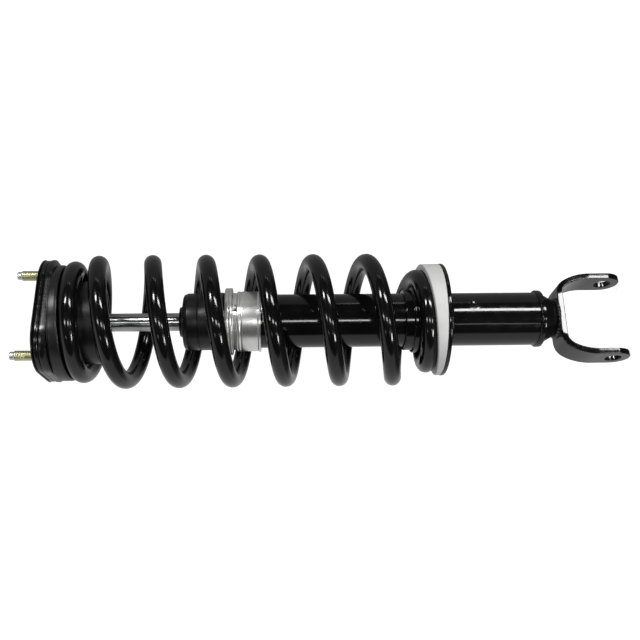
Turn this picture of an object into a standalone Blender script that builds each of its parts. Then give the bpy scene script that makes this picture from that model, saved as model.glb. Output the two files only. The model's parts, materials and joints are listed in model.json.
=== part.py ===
"""Front suspension strut: twin-tube damper, coil spring, three-stud upper mount, lower clevis.

The origin is the middle of the lower bolt's axis, between the clevis ears.
+Z runs up the damper's axis to the upper mount, and +X runs along the lower bolt.
Dimensions are in millimetres, and each mesh is scaled to metres when it is made.
Turned outlines are lists of (radius, height) points, drawn once round the section.
"""

import math

import bmesh
import bpy
from mathutils import Matrix, Vector

MM = 0.001
GAP = 0.3               # left between two pieces that touch
RUNNING_GAP = 0.1       # left between two pieces that slide on each other
SIDES = 24              # facets round a turned piece, so that fits line up
BOLT_SIDES = 16         # facets round a small hole or bolt

# Lower clevis.
STRIP_THICKNESS = 5.9   # the yoke is one bent strip
EAR_INSIDE = 37.0       # from the strut's axis to an ear's inner face
EAR_HALF_WIDTH = 16.4
EAR_HOLE_R = 8.0
WEB_TOP = 54.0
WEB_FLAT = 22.5         # half length of the flat stretch of web
SHOULDER_R = 12.0       # the tight bend at each end of the web
SHOULDER_DEGREES = 60.0

# Damper body.
CUP_FOOT = WEB_TOP + GAP
CUP_NECK_R = 17.5
CUP_FLOOR = 65.0
CUP_RIM_R = 28.7
CUP_RIM_TOP = 75.0
TUBE_R = 26.7
TUBE_WALL = 2.0
TUBE_FOOT = 72.6
TUBE_TOP = 373.0
TUBE_LIP_R = 16.0
CYLINDER_R = 18.0       # bore of the pressure tube
CYLINDER_WALL = 1.5
CYLINDER_FOOT = 77.3
CYLINDER_TOP = 346.7

# Foot valve, in the lower end of the pressure tube.
VALVE_SKIRT_FOOT = CUP_FLOOR + GAP
VALVE_FLANGE_FOOT = 74.0
VALVE_TOP = 85.0
VALVE_BORE_R = 4.3
VALVE_BOLT_R = 4.0
PASSAGE_R = 1.5
PASSAGE_CIRCLE_R = 11.5
PASSAGES = 6
SHIM_THICKNESS = 0.7
SHIM_RADII = (13.0, 11.0, 9.0)
CHECK_DISC_THICKNESS = 0.8
CHECK_DISC_INSIDE = 8.2
CHECK_DISC_OUTSIDE = 15.5
CHECK_LIFT = 1.0

# Rod guide and seal, under the rolled lip of the body tube.
GUIDE_FOOT = 341.0
GUIDE_STEP = 347.0
GUIDE_TOP = 362.0
GUIDE_BORE_R = 10.9
SEAL_TOP = 367.0

# Rod and piston.
ROD_R = 9.0
ROD_SHOULDER = 541.0
ROD_THREAD_R = 7.0
ROD_END = 575.4
ROD_STEP = 310.0
ROD_STUD_R = 5.5
ROD_FOOT = 277.0
PISTON_FOOT = 292.0
PISTON_TOP = 306.0
PISTON_R = 16.4
PISTON_BORE_R = 5.8

# Strike cap on the tube, and the bumper that rests on its ring.
CAP_FOOT = 352.0
CAP_SLEEVE_R = 29.9
CAP_SLEEVE_TOP = 375.0
CAP_NECK_R = 28.4
CAP_TOP = 379.5
CAP_SLOT_ANGLE = -83.0
RING_R = 33.4
RING_TOP = 386.9
BUMPER_FOOT = RING_TOP + GAP
BUMPER_TOP = 432.0
BUMPER_R = 28.3
BUMPER_NECK_R = 15.0

# Lower spring seat and its isolator.
SEAT_RIM_R = 56.4
SEAT_FOOT = 169.9
SEAT_TOP = 174.1
SEAT_COLLAR_R = 33.0    # the hub's lower step, inside the spring's end coil
SEAT_COLLAR_TOP = 202.3
SEAT_HUB_R = 30.4
SEAT_HUB_TOP = 210.5
NEST_R = 56.0
NEST_BORE_R = 33.4
NEST_FOOT = SEAT_TOP + GAP

# Spring. Each station is (turn, height, coil radius) of the wire's centre line. Turn 0 is at
# SPRING_CLOCK degrees from +X, and the turns count upwards, right-handed.
SPRING_CLOCK = -18.9
SPRING_OFFSET = 0.5     # how far the coils stand off the strut's axis, towards SPRING_CLOCK
WIRE_R = 8.6
SPRING_STATIONS = (
    (-6.72, 185.6, 44.6),
    (-6.5, 187.7, 45.3),
    (-6.25, 191.1, 43.8),
    (-6.0, 196.8, 41.6),
    (-5.5, 220.9, 57.8),
    (-5.0, 247.6, 57.7),
    (-2.75, 367.0, 57.6),
    (-0.5, 484.7, 57.5),
    (0.0, 510.6, 57.1),
    (0.5, 525.8, 51.3),
    (1.0, 533.2, 51.7),
    (1.22, 537.0, 51.6),
)
WIRE_POINTS_PER_TURN = 18

# Height of the lower isolator's rim, by the turn of the spring above it.
NEST_RIM_STATIONS = (
    (-6.76, 177.2),
    (-6.5, 179.0),
    (-6.25, 185.5),
    (-6.0, 192.6),
    (-5.74, 195.0),
)
WIRE_ROOM = 9.0         # radius of the groove that the wire lies in
RING_SECTIONS = 40      # sections round a ring with a helical face

# Upper mount.
STUD_CIRCLE_R = 47.0
STUD_ANGLES = (90.0, 210.0, 330.0)
STUD_R = 4.9
STUD_POINT_R = 3.9
STUD_TIP = 587.4
STUD_POINT_LENGTH = 4.6
PLATE_TOP = 564.0
PLATE_FOOT = 562.2
PLATE_HOLE_R = 19.5
CUSHION_FOOT = 557.1
CUSHION_TOP = 561.9
FLANGE_FOOT = 549.5
FLANGE_WAIST = 553.0
FLANGE_TOP = 556.8
FLANGE_FOOT_R = 58.0    # the corners are drawn in to this radius at the flange's foot
CAN_R = 27.5
CAN_FOOT = 546.0
ISOLATOR_TOP = 549.2
ISOLATOR_BAND_TOP = 547.4
ISOLATOR_R = 57.0
ISOLATOR_NECK_R = 55.0
SKIRT_R = 40.8
SKIRT_BORE_R = 37.5
SKIRT_FOOT = 508.0
OUTLINE_POINTS = 72
# The mount's plates share an outline, a band drawn tight round these circles, as (x, y, radius).
MOUNT_CORNERS = (
    (-22.0, -15.0, 33.0),
    (25.5, -7.0, 36.0),
    (-11.0, 20.0, 42.0),
)

# Finishes: colour, metallic, roughness.
GLOSS_BLACK = ((0.012, 0.012, 0.013), 0.0, 0.14)
SATIN_BLACK = ((0.02, 0.02, 0.021), 0.0, 0.45)
ZINC = ((0.62, 0.62, 0.61), 1.0, 0.28)
YELLOW_ZINC = ((0.58, 0.50, 0.25), 1.0, 0.3)
CHROME = ((0.75, 0.75, 0.76), 1.0, 0.07)
STEEL = ((0.42, 0.42, 0.43), 1.0, 0.35)
SINTERED = ((0.25, 0.25, 0.26), 1.0, 0.6)
BRONZE = ((0.5, 0.33, 0.16), 1.0, 0.35)
RUBBER = ((0.018, 0.018, 0.018), 0.0, 0.7)
GREY_RUBBER = ((0.62, 0.62, 0.61), 0.0, 0.6)
PTFE = ((0.3, 0.22, 0.12), 0.0, 0.5)


def clear_scene():
    for thing in list(bpy.data.objects):
        bpy.data.objects.remove(thing, do_unlink=True)


def moving_group(name):
    """An empty on the strut's axis, which carries the pieces that move together."""
    group = bpy.data.objects.new(name, None)
    group.empty_display_size = 0.05
    bpy.context.collection.objects.link(group)
    return group


def painted(thing, finish):
    colour, metallic, roughness = finish
    material = bpy.data.materials.new(thing.name)
    material.use_nodes = True
    shader = material.node_tree.nodes["Principled BSDF"]
    shader.inputs["Base Color"].default_value = (*colour, 1.0)
    shader.inputs["Metallic"].default_value = metallic
    shader.inputs["Roughness"].default_value = roughness
    thing.data.materials.append(material)


def placed(name, shape, finish, group):
    """Turns a bmesh in millimetres into an object in metres, carried by a group."""
    bmesh.ops.recalc_face_normals(shape, faces=shape.faces)
    bmesh.ops.scale(shape, vec=(MM, MM, MM), verts=shape.verts)
    mesh = bpy.data.meshes.new(name)
    shape.to_mesh(mesh)
    shape.free()
    mesh.shade_smooth()
    mesh.set_sharp_from_angle(angle=math.radians(35))
    thing = bpy.data.objects.new(name, mesh)
    bpy.context.collection.objects.link(thing)
    thing.parent = group
    painted(thing, finish)
    return thing


def add_turned(shape, outline, sides=SIDES):
    """Adds an outline spun round Z. An outline that starts and ends on the axis stays open there."""
    points = [shape.verts.new((radius, 0.0, height)) for radius, height in outline]
    on_axis = outline[0][0] == 0.0
    pairs = list(zip(points, points[1:]))
    if not on_axis:
        pairs.append((points[-1], points[0]))
    edges = [shape.edges.new(pair) for pair in pairs]
    bmesh.ops.spin(
        shape,
        geom=points + edges,
        cent=(0, 0, 0),
        axis=(0, 0, 1),
        angle=2 * math.pi,
        steps=sides,
        use_merge=True,
    )
    bmesh.ops.remove_doubles(shape, verts=shape.verts, dist=0.0005)


def turned(name, outline, finish, group, sides=SIDES):
    shape = bmesh.new()
    add_turned(shape, outline, sides)
    return placed(name, shape, finish, group)


def ring_outline(inside, outside, foot, top):
    return [(inside, foot), (outside, foot), (outside, top), (inside, top)]


def washer(name, inside, outside, foot, top, finish, group, sides=SIDES):
    return turned(name, ring_outline(inside, outside, foot, top), finish, group, sides)


def add_prism(shape, outline, foot, top):
    """Adds a flat outline, as (x, y) points, extruded from foot to top."""
    face = shape.faces.new([shape.verts.new((x, y, foot)) for x, y in outline])
    grown = bmesh.ops.extrude_face_region(shape, geom=[face])
    risen = [part for part in grown["geom"] if isinstance(part, bmesh.types.BMVert)]
    bmesh.ops.translate(shape, vec=(0, 0, top - foot), verts=risen)


def add_stack(shape, rings):
    """Adds a solid through level outlines of equally many points, as (outline, height)."""
    loops = [[shape.verts.new((x, y, height)) for x, y in outline] for outline, height in rings]
    for lower, upper in zip(loops, loops[1:]):
        for index in range(len(lower)):
            following = (index + 1) % len(lower)
            shape.faces.new((lower[index], lower[following], upper[following], upper[index]))
    shape.faces.new(loops[0][::-1])
    shape.faces.new(loops[-1])


def circle(radius, sides, centre=(0.0, 0.0), start=0.0):
    steps = [start + 2 * math.pi * index / sides for index in range(sides)]
    return [(centre[0] + radius * math.cos(a), centre[1] + radius * math.sin(a)) for a in steps]


def boolean(thing, tool, operation):
    cut = thing.modifiers.new(operation.lower(), "BOOLEAN")
    cut.operation = operation
    cut.object = tool
    tool.hide_render = True
    tool.display_type = "WIRE"


def tool_shape(name, shape):
    """A shape that only cuts, or is only met by, another one."""
    tool = placed(name, shape, STEEL, None)
    tool.hide_render = True
    tool.display_type = "WIRE"
    return tool


def drilled(thing, centres, radius, foot, top, sides=BOLT_SIDES):
    """Bores round holes up through a piece at (x, y) centres."""
    shape = bmesh.new()
    for centre in centres:
        add_prism(shape, circle(radius, sides, centre), foot, top)
    boolean(thing, tool_shape(thing.name + "_drill", shape), "DIFFERENCE")


def on_circle(radius, degrees):
    angle = math.radians(degrees)
    return radius * math.cos(angle), radius * math.sin(angle)


def passages():
    step = 360.0 / PASSAGES
    return [on_circle(PASSAGE_CIRCLE_R, index * step) for index in range(PASSAGES)]


def hexagon_nut(name, across_flats, bore, foot, top, finish, group):
    shape = bmesh.new()
    corner_r = across_flats / 2 / math.cos(math.pi / 6)
    add_prism(shape, circle(corner_r, 6), foot, top)
    nut = placed(name, shape, finish, group)
    drilled(nut, [(0.0, 0.0)], bore, foot - 1.0, top + 1.0)
    return nut


def read_stations(stations, turn, column):
    """A smooth curve through a table's stations that never overshoots them."""
    turns = [row[0] for row in stations]
    values = [row[column] for row in stations]
    slopes = [(b - a) / (t - s) for a, b, s, t in zip(values, values[1:], turns, turns[1:])]
    span = max(index for index in range(len(slopes)) if turns[index] <= max(turn, turns[0]))

    def tangent(index):
        if index == 0:
            return slopes[0]
        if index == len(slopes):
            return slopes[-1]
        before, after = slopes[index - 1], slopes[index]
        return 0.0 if before * after <= 0 else 2 * before * after / (before + after)

    width = turns[span + 1] - turns[span]
    u = (turn - turns[span]) / width
    start = values[span] * (1 + 2 * u) * (1 - u) ** 2 + tangent(span) * width * u * (1 - u) ** 2
    end = values[span + 1] * u * u * (3 - 2 * u) + tangent(span + 1) * width * u * u * (u - 1)
    return start + end


def wire_centre(turn):
    """Height and distance from the strut's axis of the spring wire's centre line."""
    offset = SPRING_OFFSET * math.cos(2 * math.pi * turn)
    return read_stations(SPRING_STATIONS, turn, 1), read_stations(SPRING_STATIONS, turn, 2) + offset


def turn_angle(turn):
    return math.radians(SPRING_CLOCK) + 2 * math.pi * turn


def helical_ring(name, section, first_turn, last_turn, finish, group):
    """A ring whose section changes with the turn, with a step where it meets itself."""
    shape = bmesh.new()
    loops = []
    for index in range(RING_SECTIONS):
        turn = first_turn + (last_turn - first_turn) * index / (RING_SECTIONS - 1)
        angle = turn_angle(turn)
        loops.append([
            shape.verts.new((radius * math.cos(angle), radius * math.sin(angle), height))
            for radius, height in section(turn)
        ])
    for here, there in zip(loops, loops[1:] + loops[:1]):
        for index in range(len(here)):
            following = (index + 1) % len(here)
            shape.faces.new((here[index], there[index], there[following], here[following]))
    return placed(name, shape, finish, group)


# ---------------------------------------------------------------- damper body

def bend_points(offset):
    """Half of the yoke's face at a distance from the strip's middle: web, shoulder, then ear."""
    middle = EAR_INSIDE + STRIP_THICKNESS / 2
    shoulder = math.radians(SHOULDER_DEGREES)
    corner_x = WEB_FLAT + SHOULDER_R * math.sin(shoulder)
    flare_r = (middle - corner_x) / (1 - math.sin(shoulder))
    centre_z = WEB_TOP - STRIP_THICKNESS / 2 - SHOULDER_R
    flare_z = centre_z + SHOULDER_R * math.cos(shoulder) - flare_r * math.cos(shoulder)
    points = []
    for step in range(5):
        angle = shoulder * step / 4
        radius = SHOULDER_R + offset
        points.append((WEB_FLAT + radius * math.sin(angle), centre_z + radius * math.cos(angle)))
    for step in range(1, 6):
        angle = shoulder + (math.pi / 2 - shoulder) * step / 5
        radius = flare_r + offset
        points.append((middle - flare_r + radius * math.sin(angle), flare_z + radius * math.cos(angle)))
    return points + [(middle + offset, -EAR_HALF_WIDTH - 4.0)]


def strip_outline():
    """The yoke seen along Y: one bent strip, as (x, z) points, outer side then inner side."""
    sides = []
    for offset in (STRIP_THICKNESS / 2, -STRIP_THICKNESS / 2):
        half = bend_points(offset)
        sides.append([(-x, z) for x, z in reversed(half)] + half)
    outer, inner = sides
    return outer + list(reversed(inner))


def ear_outline():
    """The yoke seen along X: straight sides and a half-round lower end, as (y, z) points."""
    arc = [on_circle(EAR_HALF_WIDTH, 180.0 + 180.0 * step / 16) for step in range(17)]
    return arc + [(EAR_HALF_WIDTH, WEB_TOP + 5.0), (-EAR_HALF_WIDTH, WEB_TOP + 5.0)]


def clevis_yoke(group):
    reach = EAR_INSIDE + STRIP_THICKNESS + 5.0
    strip = bmesh.new()
    add_prism(strip, strip_outline(), -EAR_HALF_WIDTH - 5.0, EAR_HALF_WIDTH + 5.0)
    bmesh.ops.transform(strip, matrix=Matrix.Rotation(math.pi / 2, 4, "X"), verts=strip.verts)
    yoke = placed("clevis_yoke", strip, GLOSS_BLACK, group)

    side_view = bmesh.new()
    add_prism(side_view, ear_outline(), -reach, reach)
    # Prism (u, v, w) stands for (y, z, x) of the strut.
    turn = Matrix(((0, 0, 1, 0), (1, 0, 0, 0), (0, 1, 0, 0), (0, 0, 0, 1)))
    bmesh.ops.transform(side_view, matrix=turn, verts=side_view.verts)
    boolean(yoke, tool_shape("yoke_side_view", side_view), "INTERSECT")

    bolt = bmesh.new()
    add_prism(bolt, circle(EAR_HOLE_R, 24), -reach, reach)
    bmesh.ops.transform(bolt, matrix=turn, verts=bolt.verts)
    boolean(yoke, tool_shape("yoke_bolt_holes", bolt), "DIFFERENCE")
    return yoke


def base_cup(group):
    tube_room = TUBE_R + GAP
    outline = [
        (0.0, CUP_FOOT),
        (CUP_NECK_R, CUP_FOOT),
        (CUP_NECK_R, 56.6),
        (18.8, 58.0),
        (20.6, 61.6),
        (22.3, 64.8),
        (24.1, 67.6),
        (25.7, 69.8),
        (27.8, 71.0),
        (CUP_RIM_R, 72.0),
        (CUP_RIM_R, CUP_RIM_TOP - 1.2),
        (CUP_RIM_R - 0.8, CUP_RIM_TOP),
        (tube_room, CUP_RIM_TOP),
        (tube_room, TUBE_FOOT - GAP),
        (24.2, 71.2),
        (21.6, 67.8),
        (CUP_NECK_R + 0.5, CUP_FLOOR),
        (0.0, CUP_FLOOR),
    ]
    return turned("base_cup", outline, GLOSS_BLACK, group)


def body_tube(group):
    inside = TUBE_R - TUBE_WALL
    lip_foot = TUBE_TOP - TUBE_WALL
    outline = [
        (inside, TUBE_FOOT),
        (TUBE_R, TUBE_FOOT),
        (TUBE_R, TUBE_TOP - 1.2),
        (TUBE_R - 1.2, TUBE_TOP),
        (TUBE_LIP_R, TUBE_TOP),
        (TUBE_LIP_R, lip_foot),
        (inside, lip_foot),
    ]
    return turned("body_tube", outline, GLOSS_BLACK, group)


def pressure_tube(group):
    outside = CYLINDER_R + CYLINDER_WALL
    return washer("pressure_tube", CYLINDER_R, outside, CYLINDER_FOOT, CYLINDER_TOP, STEEL, group)


def foot_valve_body(group):
    outline = [
        (VALVE_BORE_R, VALVE_FLANGE_FOOT),
        (14.0, VALVE_FLANGE_FOOT),
        (14.0, VALVE_SKIRT_FOOT),
        (17.5, VALVE_SKIRT_FOOT),
        (17.5, VALVE_FLANGE_FOOT),
        (21.0, VALVE_FLANGE_FOOT),
        (21.0, CYLINDER_FOOT - GAP),
        (CYLINDER_R - GAP, CYLINDER_FOOT - GAP),
        (CYLINDER_R - GAP, VALVE_TOP),
        (VALVE_BORE_R, VALVE_TOP),
    ]
    valve = turned("foot_valve_body", outline, SINTERED, group)
    drilled(valve, passages(), PASSAGE_R, VALVE_FLANGE_FOOT - 2.0, VALVE_TOP + 2.0, 8)
    return valve


def foot_valve_bolt(group):
    head_top = VALVE_FLANGE_FOOT - GAP - len(SHIM_RADII) * (SHIM_THICKNESS + GAP)
    plate_top = VALVE_TOP + 3.5
    outline = [
        (0.0, head_top - 3.2),
        (8.0, head_top - 3.2),
        (8.0, head_top),
        (VALVE_BOLT_R, head_top),
        (VALVE_BOLT_R, plate_top + GAP),
        (7.0, plate_top + GAP),
        (6.0, plate_top + 3.0),
        (0.0, plate_top + 3.4),
    ]
    return turned("foot_valve_bolt", outline, STEEL, group)


def shim_stack(name, bore, top, group):
    """Flexible steel discs that get smaller downwards, away from the valve's face."""
    for count, radius in enumerate(SHIM_RADII, start=1):
        foot = top - SHIM_THICKNESS
        washer(f"{name}_{count}", bore, radius, foot, top, STEEL, group)
        top = foot - GAP


def stop_plate(name, bore, foot, group):
    """Limits a check disc's lift: a plate on a short hub that clamps to the valve's face."""
    hub_r = CHECK_DISC_INSIDE - 0.5
    plate_foot = foot + CHECK_DISC_THICKNESS + CHECK_LIFT + GAP
    outline = [
        (bore, foot),
        (hub_r, foot),
        (hub_r, plate_foot),
        (CHECK_DISC_OUTSIDE - 0.5, plate_foot),
        (CHECK_DISC_OUTSIDE - 0.5, plate_foot + 1.1),
        (bore, plate_foot + 1.1),
    ]
    return turned(name, outline, STEEL, group)


def check_disc(name, foot, group):
    top = foot + CHECK_DISC_THICKNESS
    return washer(name, CHECK_DISC_INSIDE, CHECK_DISC_OUTSIDE, foot, top, STEEL, group)


def rod_guide(group):
    outline = [
        (GUIDE_BORE_R, GUIDE_FOOT),
        (CYLINDER_R - GAP, GUIDE_FOOT),
        (CYLINDER_R - GAP, GUIDE_STEP),
        (TUBE_R - TUBE_WALL - GAP, GUIDE_STEP),
        (TUBE_R - TUBE_WALL - GAP, GUIDE_TOP),
        (GUIDE_BORE_R, GUIDE_TOP),
    ]
    return turned("rod_guide", outline, SINTERED, group)


def guide_bushing(group):
    inside = ROD_R + RUNNING_GAP
    outside = GUIDE_BORE_R - GAP
    return washer("guide_bushing", inside, outside, GUIDE_FOOT + 1, GUIDE_TOP - 1, BRONZE, group)


def rod_seal(group):
    outline = [
        (ROD_R + RUNNING_GAP, GUIDE_TOP + 1.6),
        (11.5, GUIDE_TOP + GAP),
        (22.0, GUIDE_TOP + GAP),
        (22.0, SEAL_TOP),
        (11.5, SEAL_TOP),
        (ROD_R + RUNNING_GAP, SEAL_TOP - 1.4),
    ]
    return turned("rod_seal", outline, RUBBER, group)


def seal_cover(group):
    outside = TUBE_R - TUBE_WALL - GAP
    top = TUBE_TOP - TUBE_WALL - GAP
    return washer("seal_cover", 10.0, outside, SEAL_TOP + GAP, top, STEEL, group)


def strike_cap(group):
    sleeve_bore = TUBE_R + GAP
    outline = [
        (sleeve_bore, CAP_FOOT),
        (CAP_SLEEVE_R + 0.6, CAP_FOOT),
        (CAP_SLEEVE_R + 0.6, CAP_FOOT + 1.8),
        (CAP_SLEEVE_R, CAP_FOOT + 2.6),
        (CAP_SLEEVE_R, CAP_SLEEVE_TOP - 0.8),
        (CAP_SLEEVE_R - 0.8, CAP_SLEEVE_TOP),
        (CAP_NECK_R, CAP_SLEEVE_TOP),
        (CAP_NECK_R, CAP_TOP),
        (13.0, CAP_TOP),
        (13.0, CAP_TOP - 2.0),
        (24.0, CAP_TOP - 2.0),
        (24.0, TUBE_TOP + GAP),
        (sleeve_bore, TUBE_TOP + GAP),
    ]
    cap = turned("strike_cap", outline, ZINC, group)
    slot = bmesh.new()
    bmesh.ops.create_cube(slot, size=1.0)
    bmesh.ops.scale(slot, vec=(9.0, 5.0, 3.4), verts=slot.verts)
    slot_height = CAP_SLEEVE_TOP + 0.3 + 1.7
    bmesh.ops.translate(slot, vec=(CAP_NECK_R, 0, slot_height), verts=slot.verts)
    turn = Matrix.Rotation(math.radians(CAP_SLOT_ANGLE), 4, "Z")
    bmesh.ops.transform(slot, matrix=turn, verts=slot.verts)
    boolean(cap, tool_shape("strike_cap_slot", slot), "DIFFERENCE")
    return cap


def strike_ring(group):
    outline = [
        (12.0, CAP_TOP + GAP),
        (RING_R - 0.8, CAP_TOP + GAP),
        (RING_R, CAP_TOP + GAP + 0.8),
        (RING_R, RING_TOP - 0.8),
        (RING_R - 0.8, RING_TOP),
        (12.0, RING_TOP),
    ]
    return turned("strike_ring", outline, ZINC, group)


# ---------------------------------------------------------------- spring and its seats

def lower_spring_seat(group):
    bore = TUBE_R + GAP
    outline = [
        (bore, SEAT_FOOT - 5.0),
        (bore + 2.0, SEAT_FOOT - 5.0),
        (bore + 5.5, SEAT_FOOT),
        (SEAT_RIM_R - 1.0, SEAT_FOOT),
        (SEAT_RIM_R, SEAT_FOOT + 1.0),
        (SEAT_RIM_R, SEAT_TOP - 1.0),
        (SEAT_RIM_R - 1.0, SEAT_TOP),
        (SEAT_COLLAR_R, SEAT_TOP),
        (SEAT_COLLAR_R, SEAT_COLLAR_TOP - 1.0),
        (SEAT_COLLAR_R - 1.0, SEAT_COLLAR_TOP),
        (SEAT_HUB_R, SEAT_COLLAR_TOP),
        (SEAT_HUB_R, SEAT_HUB_TOP - 0.8),
        (SEAT_HUB_R - 0.8, SEAT_HUB_TOP),
        (bore, SEAT_HUB_TOP),
    ]
    return turned("lower_spring_seat", outline, GLOSS_BLACK, group)


def nest_section(turn):
    """The lower isolator's section: a rounded rim, and a groove that follows the wire."""
    rim = read_stations(NEST_RIM_STATIONS, turn, 1)
    height, radius = wire_centre(max(turn, SPRING_STATIONS[0][0]))
    edge = NEST_R - 2.0
    points = [
        (NEST_BORE_R, NEST_FOOT),
        (NEST_R, NEST_FOOT),
        (NEST_R, rim - 2.0),
        (NEST_R - 0.6, rim - 0.6),
    ]
    samples = 12
    for index in range(samples):
        place = edge + (NEST_BORE_R - edge) * index / (samples - 1)
        across = place - radius
        groove = rim
        if abs(across) < WIRE_ROOM:
            groove = height - math.sqrt(WIRE_ROOM ** 2 - across ** 2)
        points.append((place, min(rim, groove)))
    return points


def lower_spring_isolator(group):
    first, last = NEST_RIM_STATIONS[0][0] + 0.005, NEST_RIM_STATIONS[-1][0] - 0.005
    return helical_ring("lower_spring_isolator", nest_section, first, last, GREY_RUBBER, group)


def coil_spring(group):
    first, last = SPRING_STATIONS[0][0], SPRING_STATIONS[-1][0]
    steps = int((last - first) * WIRE_POINTS_PER_TURN)
    curve = bpy.data.curves.new("coil_spring", "CURVE")
    curve.dimensions = "3D"
    curve.bevel_depth = WIRE_R * MM
    curve.bevel_resolution = 2
    curve.use_fill_caps = True
    wire = curve.splines.new("POLY")
    wire.points.add(steps)
    for index, point in enumerate(wire.points):
        turn = first + (last - first) * index / steps
        height, radius = wire_centre(turn)
        angle = turn_angle(turn)
        place = Vector((radius * math.cos(angle), radius * math.sin(angle), height)) * MM
        point.co = (*place, 1.0)
    spring = bpy.data.objects.new("coil_spring", curve)
    bpy.context.collection.objects.link(spring)
    spring.parent = group
    painted(spring, GLOSS_BLACK)
    return spring


def ramp_section(turn):
    """The upper isolator's section: centring skirt, and a face that follows the wire's top."""
    height, _ = wire_centre(min(max(turn, 0.5), SPRING_STATIONS[-1][0]))
    face = height + WIRE_R + 0.4
    return [
        (SKIRT_BORE_R, SKIRT_FOOT),
        (SKIRT_R, SKIRT_FOOT),
        (SKIRT_R, face),
        (ISOLATOR_R - 1.5, face),
        (ISOLATOR_R, min(face + 1.5, ISOLATOR_BAND_TOP - 0.2)),
        (ISOLATOR_R, ISOLATOR_BAND_TOP),
        (ISOLATOR_NECK_R, ISOLATOR_BAND_TOP + 0.7),
        (ISOLATOR_NECK_R, ISOLATOR_TOP),
        (SKIRT_BORE_R, ISOLATOR_TOP),
    ]


def upper_spring_isolator(group):
    return helical_ring("upper_spring_isolator", ramp_section, 0.25, 1.24, RUBBER, group)


# ---------------------------------------------------------------- rod and piston

def piston_rod(group):
    outline = [
        (0.0, ROD_FOOT),
        (ROD_STUD_R, ROD_FOOT),
        (ROD_STUD_R, ROD_STEP),
        (ROD_R, ROD_STEP),
        (ROD_R, ROD_SHOULDER),
        (ROD_THREAD_R, ROD_SHOULDER),
        (ROD_THREAD_R, ROD_END - 1.0),
        (ROD_THREAD_R - 1.0, ROD_END),
        (0.0, ROD_END),
    ]
    return turned("piston_rod", outline, CHROME, group)


def piston(group):
    body = washer("piston", PISTON_BORE_R, PISTON_R, PISTON_FOOT, PISTON_TOP, SINTERED, group)
    drilled(body, passages(), PASSAGE_R, PISTON_FOOT - 2.0, PISTON_TOP + 2.0, 8)
    return body


def piston_band(group):
    inside = PISTON_R + GAP
    outside = CYLINDER_R - RUNNING_GAP
    foot, top = PISTON_FOOT + 2.0, PISTON_TOP - 2.0
    return washer("piston_band", inside, outside, foot, top, PTFE, group)


def rebound_stop_ring(group):
    outside = 13.5
    return washer("rebound_stop_ring", ROD_R + GAP, outside, 320.0, 324.7, STEEL, group)


def rebound_cushion(group):
    outline = [
        (ROD_R + GAP, 325.0),
        (14.0, 325.0),
        (15.2, 327.0),
        (15.2, 338.0),
        (13.5, GUIDE_FOOT - GAP),
        (ROD_R + GAP, GUIDE_FOOT - GAP),
    ]
    return turned("rebound_cushion", outline, RUBBER, group)


def jounce_bumper(group):
    bore = ROD_R + 0.4
    outline = [
        (bore, BUMPER_FOOT),
        (BUMPER_R - 0.6, BUMPER_FOOT),
        (BUMPER_R + 0.7, 389.2),
        (BUMPER_R + 0.5, 393.0),
        (BUMPER_R, 396.5),
        (BUMPER_R, 411.7),
        (BUMPER_R - 0.5, 412.5),
        (BUMPER_R, 413.3),
        (BUMPER_R, 422.5),
        (BUMPER_R - 1.4, 426.3),
        (BUMPER_R - 4.5, 428.4),
        (BUMPER_NECK_R + 0.5, 428.8),
        (BUMPER_NECK_R, 430.8),
        (BUMPER_NECK_R - 1.2, BUMPER_TOP),
        (bore, BUMPER_TOP),
    ]
    return turned("jounce_bumper", outline, SATIN_BLACK, group)


# ---------------------------------------------------------------- upper mount

def stud_places():
    return [on_circle(STUD_CIRCLE_R, degrees) for degrees in STUD_ANGLES]


def mount_outline(inset=0.0, limit=math.inf):
    """The plates' shared outline as (x, y) points, with its corners drawn in to a limit."""
    points = []
    for index in range(OUTLINE_POINTS):
        angle = 2 * math.pi * index / OUTLINE_POINTS
        out = Vector((math.cos(angle), math.sin(angle)))
        x, y, radius = max(MOUNT_CORNERS, key=lambda row: out.dot(Vector(row[:2])) + row[2])
        place = Vector((x, y)) + out * (radius - inset)
        points.append(tuple(place * min(1.0, limit / place.length)))
    return points


def mount_upper_plate(group):
    shape = bmesh.new()
    add_prism(shape, mount_outline(), PLATE_FOOT, PLATE_TOP)
    plate = placed("mount_upper_plate", shape, GLOSS_BLACK, group)
    drilled(plate, stud_places(), STUD_R + GAP, PLATE_FOOT - 1.0, PLATE_TOP + 1.0)
    hole = bmesh.new()
    add_prism(hole, circle(PLATE_HOLE_R, SIDES), PLATE_FOOT - 1.0, PLATE_TOP + 1.0)
    boolean(plate, tool_shape("plate_middle_hole", hole), "DIFFERENCE")
    return plate


def mount_cushion(group):
    shape = bmesh.new()
    add_prism(shape, mount_outline(0.8), CUSHION_FOOT, CUSHION_TOP)
    cushion = placed("mount_cushion", shape, RUBBER, group)
    drilled(cushion, stud_places(), 8.6, CUSHION_FOOT - 1.0, CUSHION_TOP + 1.0)
    hole = bmesh.new()
    add_prism(hole, circle(CAN_R + GAP, SIDES), CUSHION_FOOT - 1.0, CUSHION_TOP + 1.0)
    boolean(cushion, tool_shape("cushion_middle_hole", hole), "DIFFERENCE")
    return cushion


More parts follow.
